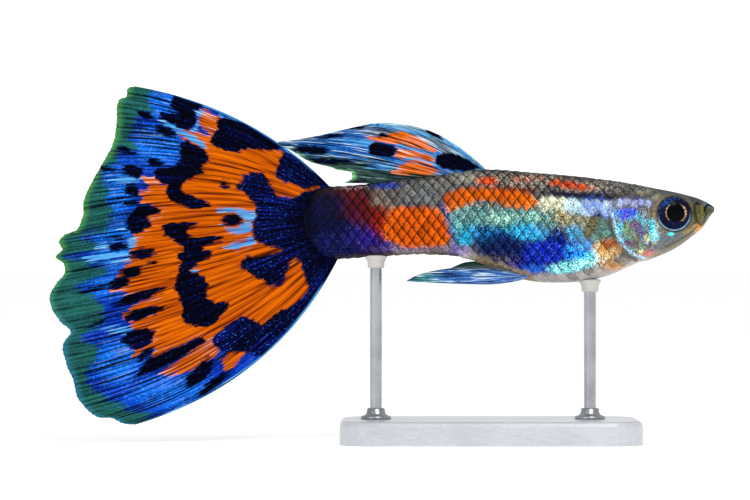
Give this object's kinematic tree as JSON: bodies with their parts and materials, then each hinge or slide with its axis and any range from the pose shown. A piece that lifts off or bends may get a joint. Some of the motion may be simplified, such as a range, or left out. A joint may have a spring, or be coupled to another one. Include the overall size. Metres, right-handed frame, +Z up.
{
  "type": "fancy guppy fish model",
  "caption": "Still life-size display model of a male fancy guppy with a broad fan tail, held level on short rods over a small flat base.",
  "frame": {"origin": "centre of the stand's underside", "axes": "+X towards the fish's snout, +Y towards its left side, +Z up"},
  "size_m": [0.0555, 0.015, 0.0298],
  "materials": {
    "head_skin": "satin painted resin, olive brown",
    "trunk_skin": "satin painted resin, iridescent blue and green",
    "stem_skin": "satin painted resin, dark orange red and navy",
    "eye": "polished, near black with a gold ring",
    "tail_fin": "thin cast resin, orange, teal and black",
    "dorsal_fin": "thin cast resin, blue, orange and black",
    "clear_fin": "thin clear resin with pale rays",
    "ventral_fin": "thin cast resin, blue and olive",
    "stand_base": "satin pale grey acrylic",
    "stand_rod": "polished steel rod"
  },
  "bodies": {
    "root": {"head": "head_skin", "lower_jaw": "head_skin", "trunk": "trunk_skin", "tail_stem": "stem_skin", "eye_left": "eye", "eye_right": "eye", "tail_fin": "tail_fin", "dorsal_fin": "dorsal_fin", "pectoral_fin_left": "clear_fin", "pectoral_fin_right": "clear_fin", "pelvic_fin_left": "ventral_fin", "pelvic_fin_right": "ventral_fin", "anal_fin": "ventral_fin", "stand_base": "stand_base", "stand_rod_front": "stand_rod", "stand_rod_rear": "stand_rod"}
  },
  "joints": []
}
